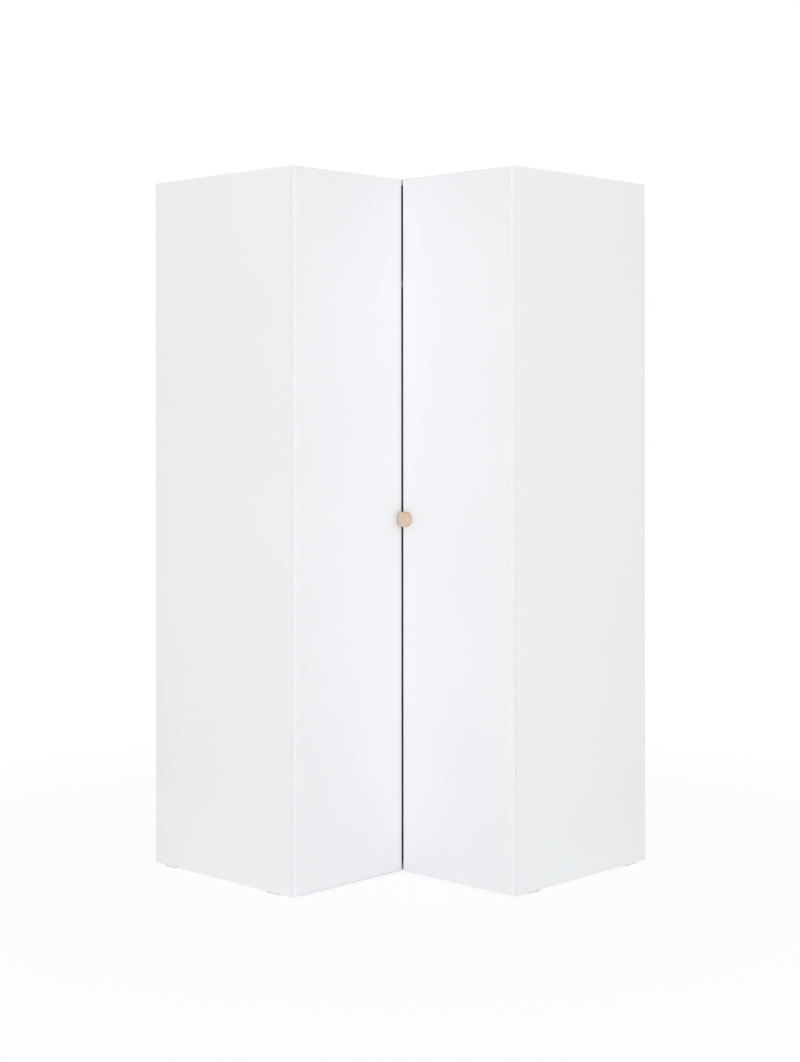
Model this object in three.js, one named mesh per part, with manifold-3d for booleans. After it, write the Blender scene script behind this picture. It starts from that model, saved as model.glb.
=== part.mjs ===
// A corner wardrobe: two arms at right angles, a door on each arm, and the two doors meet at the
// inner corner. Millimetres, +Z up. The origin is on the floor, under the middle of the square that
// the wardrobe fills. The walls of the room stand at -X and at +Y, and the inner corner points
// towards +X and -Y. The left arm ends at -Y and its door faces +X. The right arm mirrors it across
// the corner: it ends at +X and its door faces -Y. Only the doors' free edges differ a little.

import * as THREE from 'three';
import { ConvexGeometry } from 'three/addons/geometries/ConvexGeometry.js';
import { mergeVertices } from 'three/addons/utils/BufferGeometryUtils.js';
import Module from 'manifold-3d';

const wasm = await Module();
wasm.setup();

// Overall sizes
const overallHeight = 2000;
const wallLength = 1021; // along each wall, from the room's corner to the outer side face
const armDepth = 605; // from the wall to the front of the door

// Boards and sheets
const boardThickness = 18;
const doorThickness = 19;
const sheetThickness = 3;
const edgeEase = 1; // the small chamfer that edge banding leaves

// Gaps
const doorStandOff = 2; // from the carcass front to the back of a door
const leftCornerGap = 0.5; // from the left door's free edge to the plane of the right door's front
const rightCornerGap = 5; // from the right door's free edge to the plane of the left door's front
const doorBottomGap = 5;
const doorTopGap = 3;
const fitGap = 0.3; // between pieces that are put into or beside each other
const shelfSideGap = 0.5;
const sheetEndGap = 2;
const cutOverrun = 1; // how far a cutting tool runs past the face that it enters

// Back sheets and their grooves in the side panels
const grooveInset = 10; // from the rear edge of a side panel
const grooveDepth = 8;
const sheetEntry = 7; // how deep a sheet sits in its groove

// Inner boards
const rearBoardWidth = 330;
const hatSpaceHeight = 274;
const partitionPlace = 4; // from the right door's free edge to the partition's near face
const partitionSetBack = 20;
const shelfSetBack = 25;
const shelfRearGap = 2;
const shelfCount = 5;
const holePitch = 32; // the loose shelves keep to this raster of support holes

// Supports that the loose shelves lie on
const supportReach = 9;
const supportWidth = 10;
const supportThickness = 4;
const supportEntry = 5;
const supportInset = 50; // from a shelf's front or rear edge to the middle of its support

// Clothes rail
const railHeight = 30;
const railWidth = 15;
const railWall = 1.2;
const railDrop = 60; // from the hat shelf down to the middle of the rail
const railInset = 51; // from the rear board's free edge to the middle of the rail
const socketPlate = 3;
const socketWall = 2;
const socketDepth = 14;
const socketLip = 9; // how far the socket's plate stands out round its ring

// Glides
const glideHeight = 5;
const glideLength = 51;
const glideWidth = 14;
const glideEase = 1.2;
const glideFrontInset = 53; // from the carcass front
const glideRearInset = 38; // from the rear edge of a side panel

// Hinges
const pivotInset = 6; // from the outer side face to the pole of the swing
const pivotAhead = 12.5; // from the carcass front to the pole of the swing
const hingeEndInset = 100; // from a door's end to its first hinge
const hingeBays = [2, 4]; // the shelf spaces, counted from 0 at the bottom, that hold the others
const cupBoreRadius = 17.5;
const cupBoreDepth = 12;
const cupInset = 22.5; // from the door's hinged edge to the middle of the cup
const cupWall = 1;
const flangeThickness = 1.2;
const flangeRadius = 19.2;
const wingLength = 60;
const wingWidth = 15;
const cupScrewSpacing = 48;
const cupScrewRadius = 3.6;
const cupScrewHeight = 1.1;
const plateSetBack = 37; // from the carcass front to the line of the plate's screws
const plateLength = 62; // along the height
const plateWidth = 13;
const plateThickness = 2;
const plateScrewSpacing = 32;
const plateScrewRadius = 4.2;
const plateScrewHeight = 1.4;
const ridgeLength = 50;
const ridgeWidth = 10;
const ridgeHeight = 6;
const armWall = 1.2;
const armSideGap = 0.6;
const armFootGap = 0.6;
const armRearOverhang = 4;
const armFrontGap = 5; // the channel of the arm ends this far behind the carcass front
const noseWidth = 9;
const noseReach = 6; // how far the arm's nose goes past the back of the door, into the cup
const noseThickness = 7;
const noseDrop = 2.4;
const noseNeck = 4;
const armScrewRadius = 3;
const armScrewHeight = 0.8;
const armScrewPlaces = [14, 38]; // behind the carcass front

// Door bumpers
const bumperRadius = 4;
const bumperThickness = 1.7;
const bumperInset = 8; // from a door's end to the middle of its bumper
const bumperFromFreeEdge = 12;

// Knob
const knobHeight = 43;
const knobWidth = 37;
const knobReach = 24;
const knobCornerRadius = 8;
const knobEase = 6; // rounding of the front edge
const knobEdgeGap = 0.5; // from the door's free edge to the knob's flat side
const knobPlace = 1020; // height of its middle over the floor
const knobScrewRadius = 2;
const knobScrewLength = 16; // how deep the screw goes into the knob
const knobScrewHeadRadius = 4;
const knobScrewHeadHeight = 2.2;
const knobBoreGap = 2; // spare depth of the knob's hole past the screw's end

// Facets
const roundSides = 24;
const smallSides = 12;
const arcSteps = 6;
const easeSteps = 3;

// Planes, worked out from the sizes above
const half = wallLength / 2;
const doorFront = armDepth - half;
const doorBack = doorFront - doorThickness;
const carcassFront = doorBack - doorStandOff;
const innerFace = half - boardThickness;
const sheetFront = half - grooveInset - fitGap - sheetThickness;
const sheetRear = sheetFront + sheetThickness;
const leftFreeEdge = doorFront + leftCornerGap; // where the left door ends, before the corner
const rightFreeEdge = doorFront + rightCornerGap; // the same for the right door
const doorLow = glideHeight + doorBottomGap;
const doorHigh = overallHeight - doorTopGap;
const floorOfInside = glideHeight + boardThickness;
const topPanelUnder = overallHeight - boardThickness;
const hatShelfTop = topPanelUnder - hatSpaceHeight;
const hatShelfUnder = hatShelfTop - boardThickness;
const partitionNear = rightFreeEdge + partitionPlace;
const partitionFar = partitionNear + boardThickness;
const cupMiddle = cupInset - half;

// The loose shelves share the height between the bottom panel and the hat shelf about evenly, a
// whole number of hole pitches apart.
const evenSpace = (hatShelfUnder - floorOfInside - shelfCount * boardThickness) / (shelfCount + 1);
const shelfStep = holePitch * Math.round((evenSpace + boardThickness) / holePitch);
const shelfUnders = Array.from({ length: shelfCount },
  (_, i) => floorOfInside + Math.round(evenSpace) + i * shelfStep);
const shelfFront = -carcassFront + shelfSetBack;
const shelfRear = sheetFront - shelfRearGap;

// Two hinges near a door's ends, and two at mid-height of shelf spaces, clear of the shelves.
const bayFloors = [floorOfInside, ...shelfUnders.map((under) => under + boardThickness)];
const bayTops = [...shelfUnders, hatShelfUnder];
const bayMiddle = (i) => (bayFloors[i] + bayTops[i]) / 2;
const hingePlaces = [
  doorLow + hingeEndInset, ...hingeBays.map(bayMiddle), doorHigh - hingeEndInset,
];

// Solids and meshes

// The solid of a closed mesh, with its shared corners merged and its faces turned outwards.
function solidOf(geometry) {
  const plain = geometry.clone();
  plain.deleteAttribute('normal');
  plain.deleteAttribute('uv');
  const merged = mergeVertices(plain);
  const vertProperties = merged.attributes.position.array;
  const triVerts = new Uint32Array(merged.index.array);
  if (signedVolume(vertProperties, triVerts) < 0) triVerts.reverse();
  return new wasm.Manifold(new wasm.Mesh({ numProp: 3, vertProperties, triVerts }));
}

// Six times the volume inside a mesh, negative where its faces point inwards.
function signedVolume(points, corners) {
  const at = (i) => new THREE.Vector3().fromArray(points, 3 * corners[i]);
  let sum = 0;
  for (let i = 0; i < corners.length; i += 3) sum += at(i).dot(at(i + 1).cross(at(i + 2)));
  return sum;
}

function geometryOf(solid) {
  const mesh = solid.getMesh();
  const geometry = new THREE.BufferGeometry();
  geometry.setAttribute('position', new THREE.BufferAttribute(mesh.vertProperties, 3));
  geometry.setIndex(new THREE.BufferAttribute(mesh.triVerts, 1));
  geometry.computeVertexNormals();
  return geometry;
}

const joined = (first, ...rest) => rest.reduce((sum, next) => sum.add(next), first);
const cutBy = (first, ...tools) => tools.reduce((left, tool) => left.subtract(tool), first);

// The mirror image across the corner, which turns a piece of the left arm into one of the right arm.
function acrossTheCorner(geometry) {
  const swap = new THREE.Matrix4().set(0, -1, 0, 0, -1, 0, 0, 0, 0, 0, 1, 0, 0, 0, 0, 1);
  return geometryOf(solidOf(geometry.clone().applyMatrix4(swap)));
}

// A plain box between two values on each axis.
function box([x0, x1], [y0, y1], [z0, z1]) {
  const geometry = new THREE.BoxGeometry(x1 - x0, y1 - y0, z1 - z0);
  return solidOf(geometry.translate((x0 + x1) / 2, (y0 + y1) / 2, (z0 + z1) / 2));
}

// A board with all its edges eased: each corner of the box becomes three points.
function easedBoard(xs, ys, zs, ease) {
  const points = [];
  for (const i of [0, 1]) for (const j of [0, 1]) for (const k of [0, 1]) {
    const corner = [xs[i], ys[j], zs[k]];
    const inward = [i, j, k].map((side) => (side ? -ease : ease));
    for (const kept of [0, 1, 2]) {
      points.push(new THREE.Vector3(...corner.map((v, axis) => (axis === kept ? v : v + inward[axis]))));
    }
  }
  return solidOf(new ConvexGeometry(points));
}

// Frames for outlines: local x, y and the direction of the extrusion, as world axes.
const upright = new THREE.Matrix4(); // x, y and then up along Z
const alongX = new THREE.Matrix4().makeBasis(
  new THREE.Vector3(0, 1, 0), new THREE.Vector3(0, 0, 1), new THREE.Vector3(1, 0, 0));
const alongY = new THREE.Matrix4().makeBasis(
  new THREE.Vector3(0, 0, 1), new THREE.Vector3(1, 0, 0), new THREE.Vector3(0, 1, 0));

// An outline of [x, y] points, carried from one value to another along a frame's third axis.
function prism(outline, [from, to], frame = upright) {
  const shape = new THREE.Shape(outline.map(([x, y]) => new THREE.Vector2(x, y)));
  const geometry = new THREE.ExtrudeGeometry(shape, { depth: to - from, bevelEnabled: false });
  return solidOf(geometry.translate(0, 0, from).applyMatrix4(frame));
}

// Points on an arc, its start and end in half turns.
function arc([x, y], radius, from, to, steps) {
  return Array.from({ length: steps + 1 }, (_, i) => {
    const turn = (from + (to - from) * i / steps) * Math.PI;
    return [x + radius * Math.cos(turn), y + radius * Math.sin(turn)];
  });
}

const circle = (middle, radius, sides) => arc(middle, radius, 0, 2, sides).slice(1);

// A stretch with round ends, its long side along whichever size is larger.
function stadium([a, b], [x, y]) {
  const radius = Math.min(a, b) / 2;
  const [reachX, reachY] = [a / 2 - radius, b / 2 - radius];
  const start = a > b ? -1 / 2 : 0;
  return [
    ...arc([x + reachX, y + reachY], radius, start, start + 1, arcSteps),
    ...arc([x - reachX, y - reachY], radius, start + 1, start + 2, arcSteps),
  ];
}

// A closed skin over rings of points that all have the same count, with a flat cap at each end.
function loft(rings) {
  const count = rings[0].length;
  const middles = [rings[0], rings.at(-1)].map((ring) =>
    ring.reduce((sum, p) => sum.add(p), new THREE.Vector3()).divideScalar(count));
  const points = [...rings.flat(), ...middles];
  const [first, last] = [rings.length * count, rings.length * count + 1];
  const corners = [];
  for (let i = 0; i < count; i += 1) {
    const next = (i + 1) % count;
    for (let r = 0; r + 1 < rings.length; r += 1) {
      const [a, b] = [r * count, (r + 1) * count];
      corners.push(a + i, a + next, b + next, a + i, b + next, b + i);
    }
    corners.push(first, next, i, last, last - 1 - count + i, last - 1 - count + next);
  }
  const geometry = new THREE.BufferGeometry().setFromPoints(points);
  geometry.setIndex(corners);
  return solidOf(geometry);
}

// Boards

// The left side panel: a plan outline with the groove for the back sheet, carried up the height.
function sidePanel() {
  const groove = [half - grooveInset, half - grooveInset - sheetThickness - 2 * fitGap];
  const outline = [
    [-half, -half + edgeEase], [-half + edgeEase, -half],
    [carcassFront - edgeEase, -half], [carcassFront, -half + edgeEase],
    [carcassFront, -innerFace - edgeEase], [carcassFront - edgeEase, -innerFace],
    [-groove[1], -innerFace], [-groove[1], -innerFace - grooveDepth],
    [-groove[0], -innerFace - grooveDepth], [-groove[0], -innerFace], [-half, -innerFace],
  ];
  return prism(outline, [glideHeight, overallHeight]);
}

// The plan that the top panel, the bottom panel and the hat shelf share.
const cornerPlan = [
  [-sheetFront, -innerFace], [carcassFront, -innerFace], [carcassFront, -carcassFront],
  [innerFace, -carcassFront], [innerFace, sheetFront], [-sheetFront, sheetFront],
];
const cornerPanel = (low) => geometryOf(prism(cornerPlan, [low, low + boardThickness]));

// Flat supports for the loose shelves, on a face at x that looks along +1 or -1.
function shelfSupports(face, looks) {
  const ends = [face - looks * supportEntry, face + looks * supportReach].sort((a, b) => a - b);
  return shelfUnders.flatMap((top) => [shelfFront + supportInset, shelfRear - supportInset].map((y) =>
    box(ends, [y - supportWidth / 2, y + supportWidth / 2], [top - supportThickness, top])));
}

const sheetHeights = [glideHeight + sheetEndGap, overallHeight - sheetEndGap];
const leftBackSheet = () => geometryOf(
  box([-sheetRear, -sheetFront], [-innerFace - sheetEntry, sheetFront], sheetHeights));
const rightBackSheet = () => geometryOf(
  box([-sheetRear, innerFace + sheetEntry], [sheetFront, sheetRear], sheetHeights));
const rearBoard = () => geometryOf(box([-sheetFront, -sheetFront + rearBoardWidth],
  [sheetFront - boardThickness, sheetFront], [floorOfInside, hatShelfUnder]));

function partition() {
  const board = box([partitionNear, partitionFar],
    [-carcassFront + partitionSetBack, sheetFront], [floorOfInside, hatShelfUnder]);
  return geometryOf(joined(board, ...shelfSupports(partitionFar, 1)));
}

const looseShelf = (under) => geometryOf(
  box([partitionFar + shelfSideGap, innerFace - shelfSideGap], [shelfFront, shelfRear],
    [under, under + boardThickness]));

// Doors

// A door as on the left arm, with its cup bores, up to its free edge.
function doorSolid(freeEdge) {
  const board = easedBoard([doorBack, doorFront], [-half, -freeEdge], [doorLow, doorHigh], edgeEase);
  return cutBy(board, ...hingePlaces.map((z) =>
    prism(circle([cupMiddle, z], cupBoreRadius, roundSides),
      [doorBack - cutOverrun, doorBack + cupBoreDepth], alongX)));
}

// The knob as on the left door: it stands on the door front, its flat side towards the free edge.
const knobMiddle = rightFreeEdge + knobEdgeGap + knobWidth - knobHeight / 2;

// Outline of the knob in y and z, drawn in by an amount: flat at the free edge, round at the other.
function knobOutline(inset) {
  const radius = knobHeight / 2 - inset;
  const small = knobCornerRadius - inset;
  const flat = -rightFreeEdge - knobEdgeGap - knobCornerRadius;
  const reach = knobHeight / 2 - knobCornerRadius;
  return [
    ...arc([flat, reach], small, 0, 1 / 2, arcSteps),
    ...arc([-knobMiddle, 0], radius, 1 / 2, 3 / 2, roundSides),
    ...arc([flat, -reach], small, 3 / 2, 2, arcSteps),
  ];
}

function knob() {
  const ring = (x, inset) => knobOutline(inset).map(([y, z]) => new THREE.Vector3(x, y, z + knobPlace));
  const front = doorFront + knobReach;
  const eased = Array.from({ length: easeSteps + 1 }, (_, i) => {
    const turn = (i / easeSteps) * Math.PI / 2;
    return ring(front - knobEase * (1 - Math.sin(turn)), knobEase * (1 - Math.cos(turn)));
  });
  const bore = prism(circle([-knobMiddle, knobPlace], knobScrewRadius + fitGap, smallSides),
    [doorFront - cutOverrun, doorFront + knobScrewLength + knobBoreGap], alongX);
  return acrossTheCorner(geometryOf(cutBy(loft([ring(doorFront, 0), ...eased]), bore)));
}

function knobScrew() {
  const middle = [-knobMiddle, knobPlace];
  const shank = prism(circle(middle, knobScrewRadius, smallSides),
    [doorBack - cutOverrun, doorFront + knobScrewLength], alongX);
  const head = prism(circle(middle, knobScrewHeadRadius, smallSides),
    [doorBack - knobScrewHeadHeight, doorBack], alongX);
  return acrossTheCorner(geometryOf(joined(head, shank)));
}

// The right door has a hole for the knob's screw.
function rightDoor() {
  const hole = prism(circle([-knobMiddle, knobPlace], knobScrewRadius + fitGap, smallSides),
    [doorBack - cutOverrun, doorFront + cutOverrun], alongX);
  return acrossTheCorner(geometryOf(cutBy(doorSolid(rightFreeEdge), hole)));
}

// A soft disc on the back of a door, near its free edge, that meets the carcass front.
const bumper = (freeEdge, z) => geometryOf(
  prism(circle([-freeEdge - bumperFromFreeEdge, z], bumperRadius, smallSides),
    [doorBack - bumperThickness, doorBack], alongX));

// Hinges of the left arm, each piece made at the height that it is given

// The cup: a thin pot in its bore, and a flange on the door's back with two wings and their screws.
function hingeCup(z) {
  const flange = [doorBack - flangeThickness, doorBack];
  const pot = prism(circle([cupMiddle, z], cupBoreRadius - fitGap, roundSides),
    [flange[0], doorBack + cupBoreDepth - fitGap], alongX);
  const round = prism(circle([cupMiddle, z], flangeRadius, roundSides), flange, alongX);
  const wings = prism(stadium([wingWidth, wingLength], [cupMiddle, z]), flange, alongX);
  const screws = [-1, 1].map((side) =>
    prism(circle([cupMiddle, z + side * cupScrewSpacing / 2], cupScrewRadius, smallSides),
      [flange[0] - cupScrewHeight, flange[1]], alongX));
  const hollow = prism(circle([cupMiddle, z], cupBoreRadius - fitGap - cupWall, roundSides),
    [flange[0] - cutOverrun, doorBack + cupBoreDepth - fitGap - cupWall], alongX);
  return geometryOf(cutBy(joined(pot, round, wings, ...screws), hollow));
}

// The mounting plate: two wings up and down the side panel, and a ridge that the arm slides onto.
const plateMiddle = carcassFront - plateSetBack;
const ridgeTop = -innerFace + plateThickness + ridgeHeight;

function hingePlate(z) {
  const wings = prism(stadium([plateLength, plateWidth], [z, plateMiddle]),
    [-innerFace, -innerFace + plateThickness], alongY);
  const ridge = box([plateMiddle - ridgeLength / 2, plateMiddle + ridgeLength / 2],
    [-innerFace, ridgeTop], [z - ridgeWidth / 2, z + ridgeWidth / 2]);
  const screws = [-1, 1].map((side) =>
    prism(circle([z + side * plateScrewSpacing / 2, plateMiddle], plateScrewRadius, smallSides),
      [-innerFace, -innerFace + plateThickness + plateScrewHeight], alongY));
  return geometryOf(joined(wings, ridge, ...screws));
}

// The arm: a channel over the ridge, two adjusting screws on it, and a nose that bends into the cup.
function hingeArm(z) {
  const rear = plateMiddle - ridgeLength / 2 - armRearOverhang;
  const front = carcassFront - armFrontGap;
  const foot = -innerFace + plateThickness + armFootGap;
  const under = ridgeTop + fitGap;
  const top = under + armWall;
  const inner = ridgeWidth / 2 + armSideGap;
  const outer = inner + armWall;
  const channel = cutBy(box([rear, front], [foot, top], [z - outer, z + outer]),
    box([rear - cutOverrun, front + cutOverrun], [foot - cutOverrun, under], [z - inner, z + inner]));
  const low = top - noseThickness;
  const tip = doorBack + noseReach;
  const nose = prism([
    [front - noseNeck, low], [carcassFront, low], [doorBack, low - noseDrop], [tip, low - noseDrop],
    [tip, top - noseDrop], [doorBack, top - noseDrop], [carcassFront, top], [front - noseNeck, top],
  ], [z - noseWidth / 2, z + noseWidth / 2]);
  const screws = armScrewPlaces.map((back) =>
    prism(circle([z, carcassFront - back], armScrewRadius, smallSides),
      [under, top + armScrewHeight], alongY));
  return geometryOf(joined(channel, nose, ...screws));
}

// Rail

const railMiddle = [hatShelfUnder - railDrop, rearBoardWidth - railInset - sheetFront];
const railRear = sheetFront - boardThickness;

function clothesRail() {
  const ends = [-innerFace + socketPlate + fitGap, railRear - socketPlate - fitGap];
  const tube = prism(stadium([railHeight, railWidth], railMiddle), ends, alongY);
  const hollow = stadium([railHeight - 2 * railWall, railWidth - 2 * railWall], railMiddle);
  return geometryOf(cutBy(tube, prism(hollow, [ends[0] - cutOverrun, ends[1] + cutOverrun], alongY)));
}

// A socket on the board at y, with its ring towards +1 or -1 along Y.
function railSocket(y, looks) {
  const grown = (by) => stadium([railHeight + 2 * by, railWidth + 2 * by], railMiddle);
  const span = (from, to) => [y + looks * from, y + looks * to].sort((a, b) => a - b);
  const plate = prism(grown(fitGap + socketLip), span(0, socketPlate), alongY);
  const ring = prism(grown(fitGap + socketWall), span(0, socketDepth), alongY);
  const hollow = prism(grown(fitGap), span(socketPlate, socketDepth + cutOverrun), alongY);
  return geometryOf(cutBy(joined(plate, ring), hollow));
}

// Glides

// A pad with round ends and an eased sole, its long side along X, or along Y if it is turned.
function glide([x, y], turned) {
  const sizes = (inset) => [glideLength - 2 * inset, glideWidth - 2 * inset];
  const ring = (z, inset) => stadium(turned ? sizes(inset).reverse() : sizes(inset), [x, y])
    .map(([px, py]) => new THREE.Vector3(px, py, z));
  return geometryOf(loft([ring(0, glideEase), ring(glideEase, 0), ring(glideHeight, 0)]));
}

// Places along the left arm, measured at the middle of a glide
const glideFront = carcassFront - glideFrontInset - glideLength / 2;
const glideRear = -half + glideRearInset + glideLength / 2;
const underSide = -half + boardThickness / 2;
const underPartition = (partitionNear + partitionFar) / 2;

// Finishes

const finish = (color, roughness, metalness = 0) =>
  new THREE.MeshStandardMaterial({ color, roughness, metalness });
const whiteBoard = finish(0xf2f3f5, 0.5);
const whiteDoor = finish(0xf5f6f8, 0.45);
const whiteSheet = finish(0xe9eaec, 0.6);
const beech = finish(0xd8c2ae, 0.55);
const steel = finish(0xc9cbce, 0.3, 1);
const whitePlastic = finish(0xeeeeec, 0.5);
const clearPlastic = finish(0xdedfe0, 0.35);

// Assembly

function mesh(name, geometry, material) {
  const made = new THREE.Mesh(geometry, material);
  made.name = name;
  return made;
}

// A door hangs on the pole of its hinges: turning its swing group about Z opens it.
function hungDoor([x, y], pieces) {
  const swing = new THREE.Group();
  const leaf = new THREE.Group();
  swing.position.set(x, y, 0);
  leaf.position.set(-x, -y, 0);
  leaf.add(...pieces);
  return swing.add(leaf);
}
const leftPole = [carcassFront + pivotAhead, -half + pivotInset];
const rightPole = [-leftPole[1], -leftPole[0]];

const leftSide = geometryOf(sidePanel());
const rightSide = geometryOf(joined(
  solidOf(acrossTheCorner(leftSide)), ...shelfSupports(innerFace, -1)));
const carcassPieces = [
  mesh('left_side_panel', leftSide, whiteBoard),
  mesh('right_side_panel', rightSide, whiteBoard),
  mesh('bottom_panel', cornerPanel(glideHeight), whiteBoard),
  mesh('top_panel', cornerPanel(topPanelUnder), whiteBoard),
  mesh('hat_shelf', cornerPanel(hatShelfUnder), whiteBoard),
  mesh('left_back_sheet', leftBackSheet(), whiteSheet),
  mesh('right_back_sheet', rightBackSheet(), whiteSheet),
  mesh('rear_board', rearBoard(), whiteBoard),
  mesh('partition', partition(), whiteBoard),
  ...shelfUnders.map((under, i) => mesh(`shelf_${i + 1}`, looseShelf(under), whiteBoard)),
  mesh('clothes_rail', clothesRail(), steel),
  mesh('rail_socket_side', railSocket(-innerFace, 1), steel),
  mesh('rail_socket_rear', railSocket(railRear, -1), steel),
  mesh('glide_left_front', glide([glideFront, underSide], false), whitePlastic),
  mesh('glide_left_rear', glide([glideRear, underSide], false), whitePlastic),
  mesh('glide_right_front', glide([-underSide, -glideFront], true), whitePlastic),
  mesh('glide_right_rear', glide([-underSide, -glideRear], true), whitePlastic),
  mesh('glide_inner_corner', glide([glideFront, -carcassFront], false), whitePlastic),
  mesh('glide_rear_corner', glide([glideRear, -glideRear], false), whitePlastic),
  mesh('glide_partition_front', glide([underPartition, -glideFront], true), whitePlastic),
  mesh('glide_partition_rear', glide([underPartition, -glideRear], true), whitePlastic),
];
const leftLeaf = [
  mesh('left_door', geometryOf(doorSolid(leftFreeEdge)), whiteDoor),
  mesh('left_bumper_low', bumper(leftFreeEdge, doorLow + bumperInset), clearPlastic),
  mesh('left_bumper_high', bumper(leftFreeEdge, doorHigh - bumperInset), clearPlastic),
];
const rightLeaf = [
  mesh('right_door', rightDoor(), whiteDoor),
  mesh('right_bumper_low', acrossTheCorner(bumper(rightFreeEdge, doorLow + bumperInset)),
    clearPlastic),
  mesh('right_bumper_high', acrossTheCorner(bumper(rightFreeEdge, doorHigh - bumperInset)),
    clearPlastic),
  mesh('knob', knob(), beech),
  mesh('knob_screw', knobScrew(), steel),
];

// The cup of a hinge swings with its door. The arm and the plate stay on the side panel.
for (const [i, z] of hingePlaces.entries()) {
  const pieces = [
    ['cup', hingeCup(z), leftLeaf, rightLeaf],
    ['arm', hingeArm(z), carcassPieces, carcassPieces],
    ['plate', hingePlate(z), carcassPieces, carcassPieces],
  ];
  for (const [piece, geometry, left, right] of pieces) {
    left.push(mesh(`left_hinge_${piece}_${i + 1}`, geometry, steel));
    right.push(mesh(`right_hinge_${piece}_${i + 1}`, acrossTheCorner(geometry), steel));
  }
}

const wardrobe = new THREE.Group();
wardrobe.add(...carcassPieces, hungDoor(leftPole, leftLeaf), hungDoor(rightPole, rightLeaf));

export default wardrobe;
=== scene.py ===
# %% [markdown]
# # A corner wardrobe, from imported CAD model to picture
#
# The wardrobe stands in a corner of a room on two arms, with a white door on each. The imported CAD
# model gives every board and fitting at its real place, in metres: the walls of the room stand at
# -X and +Y, the left door faces +X and the right door faces -Y. Nothing of it is moved here. The
# lesson gives the boards their finishes and puts finer fittings where the plain solids stood.

import bmesh
import bpy
import numpy as np
from mathutils import Matrix, Vector


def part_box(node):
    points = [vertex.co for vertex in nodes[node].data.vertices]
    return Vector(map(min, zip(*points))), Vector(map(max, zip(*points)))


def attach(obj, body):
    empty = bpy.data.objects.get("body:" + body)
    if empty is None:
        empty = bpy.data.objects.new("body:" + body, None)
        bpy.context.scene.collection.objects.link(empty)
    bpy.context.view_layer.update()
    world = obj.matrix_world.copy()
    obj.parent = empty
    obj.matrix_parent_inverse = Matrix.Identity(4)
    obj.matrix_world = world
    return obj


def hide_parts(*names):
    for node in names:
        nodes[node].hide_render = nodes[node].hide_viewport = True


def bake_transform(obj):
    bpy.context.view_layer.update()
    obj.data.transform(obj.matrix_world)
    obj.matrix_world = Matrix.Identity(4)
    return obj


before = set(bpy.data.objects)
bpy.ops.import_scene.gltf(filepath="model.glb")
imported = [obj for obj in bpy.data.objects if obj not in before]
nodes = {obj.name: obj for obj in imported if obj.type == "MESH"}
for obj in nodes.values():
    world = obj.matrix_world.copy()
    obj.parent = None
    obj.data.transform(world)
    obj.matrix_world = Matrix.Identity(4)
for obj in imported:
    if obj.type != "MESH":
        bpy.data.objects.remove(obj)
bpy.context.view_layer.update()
scene = bpy.context.scene

# %% [markdown]
# ## The camera
#
# A camera can be placed by eye, or worked out from the vertical edges of the wardrobe, whose
# spacing and heights fix the distance. The second way was chosen, because the doors' narrow
# wedge shapes show an error of a centimetre. The camera is level, so that upright edges stay
# parallel, and a vertical lens shift puts the horizon above the middle of the picture.

# %% Camera
IMAGE_WIDTH, IMAGE_HEIGHT = 800, 1062
SENSOR = 36.0  # mm along the picture's long side


def level_camera(place, heading, focal_px, horizon_px, roll):
    """A level camera: lens = sensor x focal length in pixels / picture height, and the shift is
    the way from the picture's middle to the horizon, in picture heights."""
    data = bpy.data.cameras.new("camera")
    data.sensor_width, data.lens = SENSOR, SENSOR * focal_px / IMAGE_HEIGHT
    data.shift_y = (horizon_px - IMAGE_HEIGHT / 2) / IMAGE_HEIGHT
    made = bpy.data.objects.new("camera", data)
    turn = Vector(heading).to_track_quat("-Z", "Y").to_matrix() @ Matrix.Rotation(roll, 3, "Z")
    made.matrix_world = Matrix.Translation(place) @ turn.to_4x4()
    scene.collection.objects.link(made)
    return made


scene.camera = level_camera(
    place=(3.8319, -3.9769, 1.3193), heading=(-0.6942, 0.7198, 0),
    focal_px=1872.5, horizon_px=414.95, roll=-0.0007)
print("lens", round(scene.camera.data.lens, 2), "mm, shift", round(scene.camera.data.shift_y, 4))

# %% [markdown]
# ## Light and floor
#
# White furniture is photographed in a white room, so that no face is much darker than another.
# The world is that room: an even pale light. Two soft lamps stand far behind the camera, eleven
# degrees to either side of it, because their light reaches into the narrow seams beside the
# doors, which lamps at the sides would leave dark. The two doors light each other where they meet.
# The backdrop that the camera sees is white by the Light Path node, at strength 1, and not by more
# light. The floor is nearly white for the same reason, and still takes a soft shadow.

# %% Wires: arithmetic on shader sockets


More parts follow.
